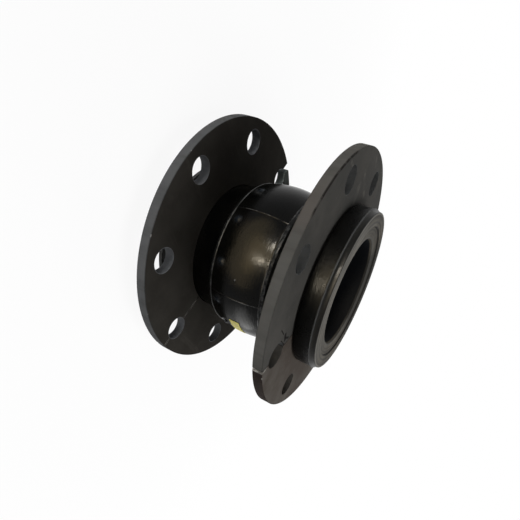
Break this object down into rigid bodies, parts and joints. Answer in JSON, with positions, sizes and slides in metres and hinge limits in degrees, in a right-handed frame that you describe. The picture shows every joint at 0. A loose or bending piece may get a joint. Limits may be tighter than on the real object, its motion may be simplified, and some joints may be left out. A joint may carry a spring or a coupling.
{
  "type": "expansion joint",
  "caption": "Rubber pipe expansion joint with one wide arch, thick end collars and a floating split steel flange behind each collar.",
  "frame": {"origin": "centre of the lower end face, on the bore axis, at the plane the part stands on", "axes": "+Z along the bore, from the lower end to the upper end; the lower flange's split lies along X"},
  "size_m": [0.21, 0.21, 0.14],
  "materials": {
    "rubber": "glossy moulded black rubber",
    "label": "matt yellow sticker",
    "flange": "matt black paint, worn at the edges"
  },
  "bodies": {
    "rubber": {"rubber_body": "rubber", "label": "label"},
    "lower_flange": {"lower_flange_half_a": "flange", "lower_flange_half_b": "flange"},
    "upper_flange": {"upper_flange_half_a": "flange", "upper_flange_half_b": "flange"}
  },
  "joints": [
    {"name": "lower_flange_swivel", "type": "hinge", "parent": "rubber", "child": "lower_flange", "pos_m": [0, 0, 0.02225], "axis": [0, 0, 1], "continuous": true},
    {"name": "axial_travel", "type": "slide", "parent": "rubber", "child": "upper_flange", "axis": [0, 0, 1], "range_m": [-0.015, 0.01], "stiffness_N_per_m": 60000, "deforming": ["rubber_body"]}
  ]
}
